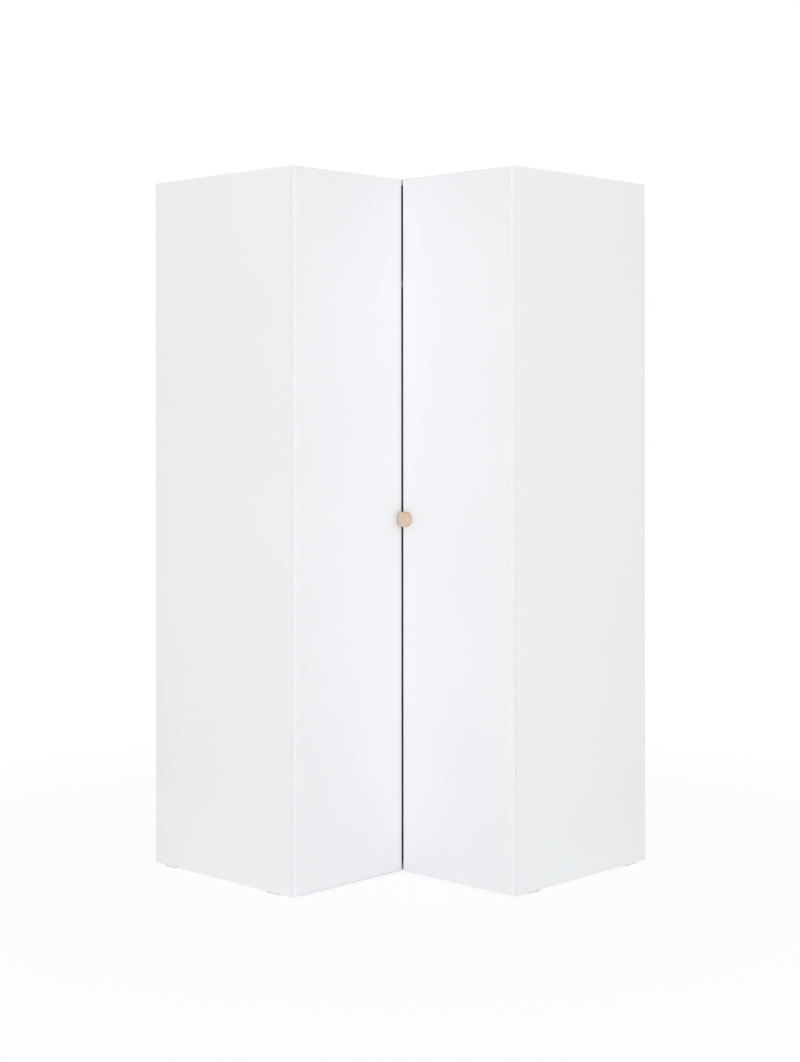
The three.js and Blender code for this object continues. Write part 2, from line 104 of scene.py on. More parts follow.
class Wire:
    """One socket of a node tree. Arithmetic on it adds Math nodes, and node() adds any other."""

    def __init__(self, tree, socket=None):
        self.tree, self.socket = tree, socket

    def node(self, kind, settings=None, inputs=None, out=0):
        """Adds a node: its settings first, then the values or links of its sockets."""
        made = self.tree.nodes.new("ShaderNode" + kind)
        for name, value in (settings or {}).items():
            setattr(made, name, value)
        for name, value in (inputs or {}).items():
            if isinstance(value, Wire):
                self.tree.links.new(value.socket, made.inputs[name])
            else:
                made.inputs[name].default_value = value
        return Wire(self.tree, made.outputs[out] if made.outputs else None)

    def math(self, operation, *terms):
        return self.node("Math", {"operation": operation}, dict(enumerate(terms)))

    def __add__(self, other):
        return self.math("ADD", self, other)

    def __sub__(self, other):
        return self.math("SUBTRACT", self, other)

    def __rsub__(self, other):
        return self.math("SUBTRACT", other, self)

    def __mul__(self, other):
        return self.math("MULTIPLY", self, other)

    __radd__, __rmul__ = __add__, __mul__

    def __abs__(self):
        return self.math("ABSOLUTE", self)

    def least(self, other):
        return self.math("MINIMUM", self, other)

    def rise(self, low, high):
        """0 below low, 1 above high, smooth between them. High below low makes it a fall."""
        return self.node("MapRange", {"interpolation_type": "SMOOTHSTEP"},
                         {"Value": self, "From Min": low, "From Max": high})

    def colours(self, at_0, at_1):
        """The colour at_0 where this is 0, and at_1 where it is 1."""
        return self.node("Mix", {"data_type": "RGBA"}, {0: self, 6: at_0, 7: at_1}, out=2)

    def noise(self, scale, detail=2.0, stretch=(1, 1, 1)):
        """Cloudy values round 0.5. Scale is in waves per metre; stretch multiplies it by axis."""
        place = self.node("VectorMath", {"operation": "MULTIPLY"}, {0: self, 1: stretch})
        return self.node("TexNoise", {}, {"Vector": place, "Scale": scale, "Detail": detail})


# %% World, floor and lamps
ROOM_LIGHT = 0.645
WHITE = (1, 1, 1, 1)


def seen_white(tree):
    """1 for a ray from the camera, or from gloss or glass that shows the backdrop."""
    wire = Wire(tree)
    rays = [wire.node("LightPath", out=name)
            for name in ("Is Camera Ray", "Is Glossy Ray", "Is Transmission Ray")]
    return rays[0].math("MAXIMUM", rays[0], rays[1].math("MAXIMUM", rays[1], rays[2]))


def pale_room():
    world = bpy.data.worlds.new("room")
    world.use_nodes = True
    world.node_tree.nodes.clear()
    seen = seen_white(world.node_tree)
    lights = seen.node("Background", {}, {"Color": WHITE, "Strength": ROOM_LIGHT})
    backdrop = seen.node("Background", {}, {"Color": WHITE, "Strength": 1.0})
    mixed = seen.node("MixShader", {}, {0: seen, 1: lights, 2: backdrop})
    seen.node("OutputWorld", {}, {"Surface": mixed})
    scene.world = world


def pale_floor(reach=9.0, shadow_share=0.08, under_share=0.8, backdrop_from=2.6, plan_inset=0.015):
    """A wide flat square. Near the wardrobe a share of it is lit, and shows the shadow; that share
    falls to nothing where the backdrop starts, so that the floor runs into it without a horizon.
    Deep under the left arm the lit share is high, so that a thin dark line shows below the door."""
    corners = np.array([[-1, -1, 0], [1, -1, 0], [1, 1, 0], [-1, 1, 0]]) * reach
    mesh = bpy.data.meshes.new("floor")
    mesh.from_pydata(corners.tolist(), [], [(0, 1, 2, 3)])
    floor = bpy.data.objects.new("floor", mesh)
    scene.collection.objects.link(floor)
    material = bpy.data.materials.new("pale_floor")
    material.use_nodes = True
    material.node_tree.nodes.clear()
    seen = seen_white(material.node_tree)
    place = seen.node("TexCoord", out="Object")
    away = seen.node("VectorMath", {"operation": "LENGTH"}, {0: place}, out="Value")
    lit = seen.node("BsdfDiffuse", {}, {"Color": (0.94, 0.94, 0.94, 1)})
    plain = seen.node("Emission", {}, {"Color": WHITE, "Strength": 1.0})
    x, y = (place.node("SeparateXYZ", {}, {0: place}, out=axis) for axis in "XY")
    face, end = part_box("left_door")[1].x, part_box("bottom_panel")[1].x
    in_square = (abs(x).rise(end - plan_inset, end - plan_inset - 0.025)
                 * abs(y).rise(end - plan_inset, end - plan_inset - 0.025))
    under = in_square * x.rise(face - 0.022, face - 0.034)
    lit_share = (shadow_share * away.rise(backdrop_from, 0.9)) * (1 - under) + under_share * under
    plain_share = seen * (1 - lit_share)
    mixed = seen.node("MixShader", {}, {0: plain_share, 1: lit, 2: plain})
    seen.node("OutputMaterial", {}, {"Surface": mixed})
    mesh.materials.append(material)


def soft_lamp(name, place, aim, size, power):
    """A square area lamp at a place in metres, turned towards the point that it lights."""
    data = bpy.data.lights.new(name, "AREA")
    data.shape, data.size, data.energy = "SQUARE", size, power
    lamp = bpy.data.objects.new(name, data)
    turn = (Vector(aim) - Vector(place)).to_track_quat("-Z", "Y").to_matrix().to_4x4()
    lamp.matrix_world = Matrix.Translation(place) @ turn
    scene.collection.objects.link(lamp)


pale_room()
pale_floor()
MIDDLE = (0, 0, 1.0)
soft_lamp("left_lamp", (4.89, -7.56, 1.0), MIDDLE, size=0.8, power=126)
soft_lamp("right_lamp", (7.36, -5.17, 1.0), MIDDLE, size=0.8, power=132)
scene.view_settings.view_transform = "Standard"
print("room light", ROOM_LIGHT, "and", len(bpy.data.lights), "lamps")

# %% [markdown]
# ## White melamine
#
# The boards are chipboard faced with white melamine paper, pressed with a very fine satin grain,
# and their edges carry a 1 mm white band. One flat white would look like paper. Here the white
# drifts by a percent over the board, the gloss is uneven, and a bump of a few hundredths of a
# millimetre breaks up reflections. All of it reads object coordinates, which are metres in the
# wardrobe's own frame, so that the grain has one scale on every board.

# %% Finishes in general


def display(red, green, blue):
    """A colour as it is written for a screen, 0 to 255, turned into linear light."""
    share = np.array([red, green, blue]) / 255
    linear = np.where(share <= 0.04045, share / 12.92, ((share + 0.055) / 1.055) ** 2.4)
    return (*np.round(linear, 4).tolist(), 1)


class Finish:
    """A material with one Principled shader, and a wire at its object coordinates."""

    def __init__(self, name, **fixed):
        self.material = bpy.data.materials.new(name)
        self.material.use_nodes = True
        tree = self.material.node_tree
        self.shader = tree.nodes["Principled BSDF"]
        for socket, value in fixed.items():
            self.shader.inputs[socket.replace("_", " ")].default_value = value
        self.place = Wire(tree).node("TexCoord", out="Object")
        self.x, self.y, self.z = (
            self.place.node("SeparateXYZ", {}, {0: self.place}, out=axis) for axis in "XYZ")

    def drive(self, **sockets):
        for socket, wire in sockets.items():
            self.place.tree.links.new(wire.socket, self.shader.inputs[socket.replace("_", " ")])

    def bump(self, height, metres, strength=1.0):
        """A bump whose height of 1 stands for that many metres."""
        self.drive(Normal=height.node(
            "Bump", {}, {"Height": height, "Distance": metres, "Strength": strength}))


def melamine(name, tone, bores=None, band_of=None):
    """White faced board. Tone is its screen colour. Raw bores and band lines are added if given."""
    finish = Finish(name, Specular_IOR_Level=0.42)
    drift = finish.place.noise(2.6)
    colour = drift.rise(0.3, 0.7).colours(display(*tone), display(*(v - 2 for v in tone)))
    height = finish.place.noise(1100, 3) * 0.5 + finish.place.noise(260, 1) * 0.5
    rough = 0.40 + 0.10 * finish.place.noise(14) + 0.05 * finish.place.noise(700)
    if band_of:
        band, line = band_and_joint(finish, band_of)
        colour = band.colours(colour, display(*BAND_TONE))
        colour = (line * 0.55).colours(colour, display(*(v - JOINT_SHADE for v in tone)))
        height = height - 3 * line
    if bores:
        raw, support = bores(finish)
        chips = finish.place.noise(900, 3).rise(0.35, 0.65)
        colour = raw.colours(colour, chips.colours(*CHIPBOARD))
        colour = support.colours(colour, NICKEL)
        finish.drive(Metallic=support)
        rough = rough + support * (NICKEL_ROUGH - rough) + raw * (RAW_ROUGH - rough)
    finish.drive(Base_Color=colour, Roughness=rough)
    finish.bump(height, 0.00003)
    return finish.material


NICKEL, CHIPBOARD = display(206, 203, 197), (display(150, 122, 90), display(184, 157, 122))
NICKEL_ROUGH, RAW_ROUGH = 0.28, 0.9
BOARD_TONE, DOOR_TONE, BAND_TONE = (248, 250, 252), (245, 246, 248), (249, 250, 252)
JOINT_SHADE = 26

# %% [markdown]
# A door's edge band is a little whiter than its face, and its joint is a hair line 1 mm in from
# each arris. Both come from the least of the ways to the door's four edges. Inside a bore the
# board is raw chipboard, and the shelf supports that stand out of it are nickel. These are told
# from the place alone: how far a point lies behind or before the board's face.

# %% Lines and depths
BAND, BOARD_CORE = 0.001, 0.017


def band_and_joint(finish, node):
    """Masks from the least way to an edge: the band is where it is under 1 mm, and the joint's
    hair line is where it is 1 mm."""
    low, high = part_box(node)
    across = finish.y if high.y - low.y > high.x - low.x else finish.x
    start, end = (low.y, high.y) if across is finish.y else (low.x, high.x)
    to_side = (across - start).least(end - across)
    to_end = (finish.z - low.z).least(high.z - finish.z)
    to_edge = to_side.least(to_end)
    return to_edge.rise(BAND, 0.9 * BAND), abs(to_edge - BAND).rise(0.0003, 0.0001)


def bores_of(name, face, outward):
    """Masks for a board whose face at x = face looks along outward: the raw inside of its bores,
    and the supports that stand out of it."""
    low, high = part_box(name)

    def masks(finish):
        before = (finish.x - face) * outward
        from_edge = (finish.y - low.y).least(high.y - finish.y)
        from_edge = from_edge.least((finish.z - low.z).least(high.z - finish.z))
        inside = (before + BOARD_CORE).rise(0, 0.0002) * from_edge.rise(0.003, 0.004)
        return before.rise(-0.0001, -0.0003) * inside, before.rise(0.0003, 0.0004)

    return masks


board = melamine("white_board", BOARD_TONE)
bored_faces = {"right_side_panel": (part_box("right_hinge_plate_1")[1].x, -1),
               "partition": (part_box("shelf_1")[0].x - 0.0005, 1)}
finishes = {
    "left_door": melamine("white_door_left", DOOR_TONE, band_of="left_door"),
    "right_door": melamine("white_door_right", DOOR_TONE, band_of="right_door"),
}
for name, (face, outward) in bored_faces.items():
    finishes[name] = melamine(name + "_white", BOARD_TONE, bores_of(name, face, outward))
print(1 + len(finishes), "melamine finishes")

# %% [markdown]
# ## Back sheets
#
# The backs are 3 mm hardboard, lacquered white on the side that faces the clothes. The side that
# faces the wall is left raw: brown pressed fibres with paler flecks. One finish serves both sides,
# because a sheet's two faces lie 3 mm apart in object coordinates, which is easy to tell.

# %% Hardboard


def hardboard(name, outward):
    """White lacquer inside and raw brown fibres outside, where outward is the way to the wall."""
    finish = Finish(name, Specular_IOR_Level=0.35)
    raw = (finish.y if outward == "y" else 0 - finish.x).rise(0.4990, 0.4992)
    fibres = finish.place.noise(900, 4)
    flecks = finish.place.noise(380, 3, stretch=(1, 1, 0.4)).rise(0.58, 0.72)
    brown = fibres.rise(0.3, 0.7).colours(display(118, 88, 60), display(151, 118, 84))
    brown = (flecks * 0.6).colours(brown, display(186, 154, 116))
    drift = finish.place.noise(3).rise(0.3, 0.7)
    white = drift.colours(display(238, 239, 240), display(234, 235, 236))
    finish.drive(Base_Color=raw.colours(white, brown),
                 Roughness=0.5 + 0.08 * finish.place.noise(40) + 0.22 * raw)
    finish.bump(fibres, 0.00006)
    return finish.material


finishes["left_back_sheet"] = hardboard("back_sheet_left", "x")
finishes["right_back_sheet"] = hardboard("back_sheet_right", "y")

# %% Finishes onto the CAD nodes
for name, node in nodes.items():
    node.data.materials.clear()
    node.data.materials.append(finishes.get(name, board))
print(len(finishes), "nodes have a finish of their own")

# %% [markdown]
# ## Surfaces from arrays
#
# The fittings are small pressed, turned and moulded pieces. Each could be modelled by hand with
# modifiers. Here each is a grid of points that a formula gives in one go, because then a size is
# one number, and a copy at another hinge is the same formula with another place. A grid's rows
# are rings round the piece, and its columns run along it.

# %% Grids, rings and meshes
MM = 0.001
X, Y, Z = np.eye(3)


def corners_mm(node):
    """The lowest and highest corner of a CAD node, in millimetres."""
    low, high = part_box(node)
    return np.array(low) / MM, np.array(high) / MM


def triangles(rows, columns, around=True):
    """Corners of the two triangles in each cell of a grid. Around joins its last column to its
    first."""
    i, j = np.arange(rows - 1)[:, None], np.arange(columns if around else columns - 1)[None, :]
    k = (j + 1) % columns
    a, b, c, d = i * columns + j, i * columns + k, (i + 1) * columns + k, (i + 1) * columns + j
    return np.stack([a, b, c, a, c, d], -1).reshape(-1, 3)


def shell(rings, around=True):
    """Points and triangles of one skin over rings. Equal points are merged, so that an end whose
    ring has shrunk to a point is closed, and the skin is turned so that its faces look outwards."""
    rows, columns = rings.shape[:2]
    points, corners = rings.reshape(-1, 3), triangles(rows, columns, around)
    _, first, back = np.unique(np.round(points, 5), axis=0, return_index=True, return_inverse=True)
    points, corners = points[first], back.reshape(-1)[corners]
    whole = (corners != np.roll(corners, 1, axis=1)).all(axis=1)
    corners = corners[whole]
    a, b, c = (points[corners[:, k]] for k in range(3))
    if np.einsum("ij,ij->i", a, np.cross(b, c)).sum() < 0:
        corners = corners[:, ::-1]
    return points, corners


def together(*shells):
    """Several skins as one set of points and triangles."""
    starts = np.cumsum([0] + [len(points) for points, _ in shells[:-1]])
    return (np.concatenate([points for points, _ in shells]),
            np.concatenate([corners + start for (_, corners), start in zip(shells, starts)]))


def put(skin, rows, at):
    """A skin whose own x, y and z point along the three rows, moved to at. A mirrored set of rows
    turns the triangles over, so that the faces still look outwards."""
    points, corners = skin
    rows = np.array(rows, float)
    turned_over = np.linalg.det(rows) < 0
    return points @ rows + np.array(at), corners[:, ::-1] if turned_over else corners


def piece(name, parts, finish, body, stands_for=(), sharp=38):
    """Puts points in millimetres and their triangles into a mesh, on a body of the CAD model."""
    points, corners = parts
    mesh = bpy.data.meshes.new(name)
    mesh.from_pydata((points * MM).tolist(), [], corners.tolist())
    mesh.shade_smooth()
    mesh.set_sharp_from_angle(angle=np.radians(sharp))
    mesh.materials.append(finish)
    made = bpy.data.objects.new(name, mesh)
    scene.collection.objects.link(made)
    if body:
        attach(made, body)
    if stands_for:
        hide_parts(*stands_for)
    return made


# %% [markdown]
# An outline with round corners is kept as arcs: the middle, radius and direction of each point.
# Drawing it in by an amount only shortens the radii, so an eased edge is the same outline at a
# few heights, each drawn in a little more.

# %% Rounded outlines and eased edges


def rounded(length, width, radius, steps=8):
    """Arcs of a rectangle with round corners: middles, outward directions and radii."""
    turn = np.concatenate([np.linspace(q, q + 1, steps + 1) for q in range(4)]) * np.pi / 2
    quarter = np.repeat(np.arange(4), steps + 1)
    sign = np.stack([np.where((quarter == 0) | (quarter == 3), 1, -1),
                     np.where(quarter < 2, 1, -1)], -1)
    middles = sign * np.array([length / 2 - radius, width / 2 - radius])
    return middles, np.stack([np.cos(turn), np.sin(turn)], -1), np.full(len(turn), float(radius))


def eased(height, low=0.0, high=0.0, steps=4):
    """Rows of (drawn in, height) from 0 to the height, with a quarter round of that radius at
    each end."""
    turn = np.linspace(0, np.pi / 2, steps + 1)
    foot = np.stack([low * (1 - np.sin(turn)), low * (1 - np.cos(turn))], -1)
    head = np.stack([high * (1 - np.cos(turn)), height - high * (1 - np.sin(turn))], -1)
    return np.concatenate([foot, head])


def stack(outline, profile, at=(0, 0, 0)):
    """Rings of an outline drawn in and raised as the profile says, with both ends closed."""
    middles, outward, radii = outline
    drawn, height = profile[:, 0][:, None], profile[:, 1]
    flat = middles + (radii - drawn)[..., None] * outward
    rings = np.dstack([flat, np.broadcast_to(height[:, None], flat.shape[:2])])
    ends = [np.broadcast_to(ring.mean(axis=0), ring.shape) for ring in (rings[0], rings[-1])]
    return np.concatenate([ends[:1], rings, ends[1:]]) + np.array(at)


def turned(profile, steps=48):
    """Rings of a profile of (radius, height) rows turned about the upright axis."""
    turn = np.linspace(0, 2 * np.pi, steps, endpoint=False)
    around = np.stack([np.cos(turn), np.sin(turn)], -1)
    flat = profile[:, 0][:, None, None] * around
    return np.dstack([flat, np.broadcast_to(profile[:, 1][:, None], flat.shape[:2])])


def screw_head(radius, height, at, steps=36, rows=12):
    """A low dome with a cross cut into it. Dome: height x (1 - 0.75 (r/R)^3). The cut is 0.6 of
    the height deep where a point lies within the width and length of one of its arms."""
    share, turn = np.meshgrid(np.linspace(0, 1, rows),
                              np.linspace(0, 2 * np.pi, steps, endpoint=False), indexing="ij")
    a, b = share * radius * np.cos(turn), share * radius * np.sin(turn)
    near, far = np.minimum(abs(a), abs(b)), np.maximum(abs(a), abs(b))
    cut = np.clip((0.2 * radius - near) / 0.25, 0, 1) * np.clip((0.62 * radius - far) / 0.3, 0, 1)
    top = height * (1 - 0.75 * share ** 3) - 0.6 * height * cut
    rim = np.stack([a[-1], b[-1], np.full(steps, -0.4)], -1)[None]
    base = np.zeros_like(rim) + [0, 0, -0.4]
    return shell(np.concatenate([np.stack([a, b, top], -1), rim, base]) + np.array(at))


print("a rounded outline has", len(rounded(10, 5, 2)[0]), "points")

# %% [markdown]
# ## Bores for the shelf supports
#
# The loose shelves can go up or down by 32 mm, so the side panel and the partition have two
# columns of blind holes. They could be drawn dark, but a drawn hole has no depth when a shelf is
# seen from near. Here a set of rods is taken away from a copy of each board with a Boolean, whose
# result stands for the CAD board. Rows where a support already sits are left whole.

# %% Bored boards
PITCH, BORE_RADIUS, BORE_DEPTH, LOWEST, HIGHEST = 32.0, 2.5, 9.0, 155.0, 1600.0
COLUMN_INSET, BELOW_SHELF = 50, 2  # from a shelf's front and rear edge, and from its underside
rod = np.array([[0, -1], [BORE_RADIUS, -1], [BORE_RADIUS, BORE_DEPTH], [0, BORE_DEPTH]])
rod = shell(turned(rod, 16))


def joined(mesh):
    """A copy of a mesh whose loose triangles share their corners, as a Boolean needs."""
    work, copy = bmesh.new(), mesh.copy()
    work.from_mesh(mesh)
    bmesh.ops.remove_doubles(work, verts=work.verts, dist=1e-6)
    work.to_mesh(copy)
    work.free()
    return copy


def less(board_mesh, skin):
    """A board's mesh without a skin in millimetres, as points and triangles in millimetres."""
    rods = bpy.data.meshes.new("rods")
    rods.from_pydata((skin[0] * MM).tolist(), [], skin[1].tolist())
    whole, cutter = (bpy.data.objects.new(mesh.name, mesh) for mesh in (joined(board_mesh), rods))
    for made in (whole, cutter):
        scene.collection.objects.link(made)
    difference = whole.modifiers.new("bores", "BOOLEAN")
    difference.object, difference.solver = cutter, "EXACT"
    result = whole.evaluated_get(bpy.context.evaluated_depsgraph_get()).to_mesh()
    result.calc_loop_triangles()
    points = np.empty((len(result.vertices), 3), np.float32)
    corners = np.empty((len(result.loop_triangles), 3), np.int32)
    result.vertices.foreach_get("co", points.ravel())
    result.loop_triangles.foreach_get("vertices", corners.ravel())
    for made in (whole, cutter):
        bpy.data.objects.remove(made)
    return points / MM, corners


shelves = [corners_mm(f"shelf_{i}") for i in range(1, 6)]
columns = [shelves[0][0][1] + COLUMN_INSET, shelves[0][1][1] - COLUMN_INSET]
taken = np.array([low[2] - BELOW_SHELF for low, _ in shelves])
steps = np.arange(np.ceil((LOWEST - taken[0]) / PITCH), np.floor((HIGHEST - taken[0]) / PITCH) + 1)
free = [height for height in taken[0] + PITCH * steps if abs(height - taken).min() > 1]
for name, (face, outward) in bored_faces.items():
    rods = together(*(put(rod, [Y, Z, -outward * X], (face / MM, column, height))
                      for column in columns for height in free))
    bored = less(nodes[name].data, rods)
    piece(name + "_bored", bored, finishes[name], "carcass", [name])
    print(name, len(columns) * len(free), "bores,", len(bored[1]), "triangles")

# %% [markdown]
# ## The knob
#
# The only handle is a D-shaped block of pale beech at the free edge of the right door. Its flat
# side is flush with that edge, its other side is a half circle, and the front arris is well
# rounded. The outline has a half circle and two small corners, so it is three sets of arcs.
# Beech shows as short dark flecks along the grain, so the noise is stretched upwards.

# %% Beech


def beech():
    """Beech: long soft bands, and short thin flecks in the direction of the grain, upwards."""
    finish = Finish("beech", Specular_IOR_Level=0.4, Coat_Weight=0.12, Coat_Roughness=0.45)
    bands = finish.place.noise(160, 3, stretch=(1, 1, 0.06))
    flecks = finish.place.noise(1500, 2, stretch=(1, 1, 0.12)).rise(0.60, 0.70)
    pores = finish.place.noise(3600, 2, stretch=(1, 1, 0.08))
    wood = bands.rise(0.3, 0.7).colours(display(223, 200, 179), display(213, 187, 164))
    wood = (flecks * 0.45).colours(wood, display(186, 148, 116))
    finish.drive(Base_Color=wood, Roughness=0.46 + 0.12 * pores)
    finish.bump(pores * 0.6 - flecks, 0.00004)
    return finish.material


# %% Knob and its screw
low, high = corners_mm("knob")
knob_width, knob_reach, knob_height = high - low


def d_outline(width, height, corner, steps=20):
    """Arcs of a D: a half circle at the far side, and two small corners at the flat side."""
    radius = height / 2
    turn = np.concatenate([np.linspace(-1, 1, 2 * steps), np.linspace(1, 2, steps),
                           np.linspace(2, 3, steps)])
    far, upper = np.arange(4 * steps) < 2 * steps, np.arange(4 * steps) < 3 * steps
    middles = np.stack([np.where(far, width - radius, corner),
                        np.where(far, 0, np.where(upper, 1, -1) * (radius - corner))], -1)
    turn = turn * np.pi / 2
    return middles, np.stack([np.cos(turn), np.sin(turn)], -1), np.where(far, radius, corner)


rings = stack(d_outline(knob_width, knob_height, corner=8.0),
              eased(knob_reach, low=0.4, high=6.0, steps=8))
knob = put(shell(rings), [X, Z, -Y], (low[0], high[1], (low[2] + high[2]) / 2))
piece("knob_block", knob, beech(), "right_leaf", ["knob"], sharp=50)
print("knob", np.round(np.ptp(knob[0], axis=0), 2).tolist(), "mm")

# %% [markdown]
# ## Metal, plastic and the rail
#
# Nickel on pressed steel is a grey that is a little warm, with soft blurred reflections. The
# rail is brighter and nearly a mirror, and hangers leave fine marks across its top. Both are the
# Principled shader at full metal; only the roughness and a faint bump change. The white plastic of
# the glides and caps has the fine pebble of a mould, and the bumpers are milky and let light in.

# %% Metal and plastic


def metal(name, colour, rough, scratches=(1, 1, 1)):
    """Plated steel: clouds of roughness, and fine scratches stretched across their direction."""
    finish = Finish(name, Metallic=1.0)
    marks = finish.place.noise(1400, 3, stretch=scratches)
    cloud = finish.place.noise(60, 2)
    dull = tuple(0.93 * v for v in colour[:3]) + (1,)
    finish.drive(Base_Color=cloud.rise(0.3, 0.7).colours(colour, dull),
                 Roughness=rough * (0.7 + 0.5 * cloud) + 0.10 * marks.rise(0.55, 0.75))
    finish.bump(marks, 0.00002)
    return finish.material


def plastic(name, tone, **fixed):
    """Moulded plastic: an even colour that drifts a little, and a fine pebble."""
    finish = Finish(name, **fixed)
    pebble = finish.place.noise(2200, 1)
    drift = finish.place.noise(90).rise(0.3, 0.7)
    finish.drive(Base_Color=drift.colours(display(*tone), display(*(v - 5 for v in tone))),
                 Roughness=0.38 + 0.2 * pebble)
    finish.bump(pebble, 0.00005)
    return finish.material


nickel = metal("nickel", NICKEL, 0.26)
chrome = metal("rail_chrome", display(222, 224, 227), 0.10, scratches=(0.3, 1, 0.3))
white_plastic = plastic("white_plastic", (236, 236, 234))
milky_plastic = plastic("milky_plastic", (226, 229, 232), Transmission_Weight=0.55, IOR=1.45)

# %% [markdown]
# The clothes rail is an oval tube. Its skin goes along the outside, round the cut end, back
# along the bore and round the other end, so the rings close on themselves and the wall has a
# real thickness. A socket holds each end: an oval flange with a collar, and two screws in it.

# %% Clothes rail and its sockets


def stadium(length, width):
    return rounded(length, width, min(length, width) / 2, 12)


def sleeve(outline, bore, length, edge=0.3):
    """Rings of a tube: outline outside, drawn in by bore inside, with both cut ends eased. The
    last ring meets the first, so the skin is closed like a tyre."""
    rows = np.array([[edge, 0], [0, edge], [0, length - edge], [edge, length],
                     [bore - edge, length], [bore, length - edge], [bore, edge], [bore - edge, 0],
                     [edge, 0]])
    return stack(outline, rows)[1:-1]


rail_low, rail_high = corners_mm("clothes_rail")
rail_length, rail_middle = rail_high[1] - rail_low[1], (rail_low + rail_high) / 2
rail = put(shell(sleeve(stadium(30, 15), 1.2, rail_length)), [Z, X, Y],
           (rail_middle[0], rail_low[1], rail_middle[2]))
piece("rail_tube", rail, chrome, "carcass", ["clothes_rail"])

flange = together(shell(stack(stadium(48.6, 33.6), eased(3, 0.2, 0.9))),
                  put(shell(sleeve(stadium(34.6, 19.6), 2.0, 13, 0.4)), [X, Y, Z], (0, 0, 1)),
                  screw_head(2.9, 1.4, (-20.6, 0, 3)), screw_head(2.9, 1.4, (20.6, 0, 3)))
for end, looks in (("side", 1), ("rear", -1)):
    low, high = corners_mm(f"rail_socket_{end}")
    foot = low[1] if looks > 0 else high[1]
    placed = put(flange, [Z, X, looks * Y], (rail_middle[0], foot, rail_middle[2]))
    piece(f"rail_flange_{end}", placed, nickel, "carcass", [f"rail_socket_{end}"])
print("rail", round(rail_length, 1), "mm long")

# %% [markdown]
# ## Concealed hinges
#
# Each door hangs on four concealed hinges. A pot is pressed into the door's back, a plate is
# screwed to the side panel, and a bent arm slides over the plate's ridge. The three are drawn
# once, in the hinge's own directions: forward from the carcass's front edge, inward from
# the side panel's face, and up. The right door's hinges are the mirror image across the corner.

# %% The directions of a hinge
FORWARD, INWARD, UP = np.eye(3)
PLATE_BACK = -37.0  # the plate's screws, forward of the carcass's front edge
CUP_INWARD, DOOR_BACK = 4.5, 2.0  # the cup's middle, and the back of the door
side_face, front_edge = corners_mm("left_side_panel")[1][[1, 0]]


def at_hinge(skin, side, height):
    """A skin from the hinge's directions into the wardrobe's. The corner mirrors (x, y) to
    (-y, -x)."""
    if side == "left":
        return put(skin, [X, Y, Z], (front_edge, side_face, height))
    return put(skin, [-Y, -X, Z], (-side_face, -front_edge, height))


# %% [markdown]
# The plate is two wings with a ridge across them. The cup is a turned pot whose profile runs from
# the middle of its floor, up the inside, over the flange and down the outside. Two wings with a
# straight inner end take its screws, and two lugs inside hold the pin of the links.

# %% Plate and cup
plate = together(
    put(shell(stack(stadium(62, 13), eased(2, 0.1, 0.7))), [UP, FORWARD, INWARD],
        (PLATE_BACK, 0, 0)),
    put(shell(stack(rounded(50, 10, 1.2, 3), eased(7.5, 0, 0.8))), [FORWARD, UP, INWARD],
        (PLATE_BACK, 0.5, 0)),
    *(put(screw_head(4.2, 1.4, (0, 0, 0)), [UP, FORWARD, INWARD], (PLATE_BACK, 2, side * 16))
      for side in (-1, 1)))

POT = np.array([[0, 12.7], [15.0, 12.7], [15.9, 12.4], [16.2, 11.7], [16.2, 1.3], [16.5, 0.95],
                [17.0, 0.8], [18.8, 0.8], [19.1, 0.9], [19.2, 1.2], [19.2, 2.0], [17.2, 2.0],
                [17.2, 13.3], [16.8, 13.7], [0, 13.7]])  # radius, and way into the door
cup = [put(shell(turned(POT)), [INWARD, UP, FORWARD], (0, CUP_INWARD, 0))]
for side in (-1, 1):
    wing = shell(stack(d_outline(12.7, 15, 0.5), eased(1.05, 0, 0.3)))
    lug = shell(stack(rounded(7, 1.2, 0.3, 2), eased(6.7, 0, 0.4)))
    cup += [put(wing, [side * UP, INWARD, -FORWARD], (DOOR_BACK, CUP_INWARD, side * 17.3)),
            put(screw_head(3.6, 1.1, (0, 0, 0)), [UP, INWARD, -FORWARD],
                (0.95, CUP_INWARD, side * 24)),
            put(lug, [INWARD, UP, -FORWARD], (12.7, 2.5, side * 7.2))]
cup = together(*cup)
print("plate", len(plate[1]), "triangles, cup", len(cup[1]))

# %% [markdown]
# The arm is a strip of steel bent to a channel, open towards the side panel. Along its way
# forward it gets narrower and steps down into the cup. Its section is an outer line and an inner
# line, a wall's thickness apart, and both are functions of the place along the arm.

# %% Arm


def smooth(share):
    share = np.clip(share, 0, 1)
    return share * share * (3 - 2 * share)


def channel(forward, half, top, wall=1.2, deep=6.9, bend=1.8, steps=5):
    """Rings of a bent channel. Outer line: up one side, a quarter round of the bend, across the
    top, and down; inner line: the same, a wall further in. The ends close on the middle line."""
    turn = np.linspace(0, np.pi / 2, steps)

    def line(inset):
        rise = np.hstack([top - deep, top - bend + (bend - inset) * np.sin(turn)])
        out = np.hstack([half - inset, half - bend + (bend - inset) * np.cos(turn)])
        across, inward = np.hstack([-out, out[:, ::-1]]), np.hstack([rise, rise[:, ::-1]])
        return np.dstack([np.broadcast_to(forward, across.shape), inward, across])

    outer, inner = line(0), line(wall)
    middle = (outer + inner) / 2
    ends = np.hstack([middle, middle[:, ::-1]])
    return np.concatenate([ends[:1], np.hstack([outer, inner[:, ::-1]]), ends[-1:]])


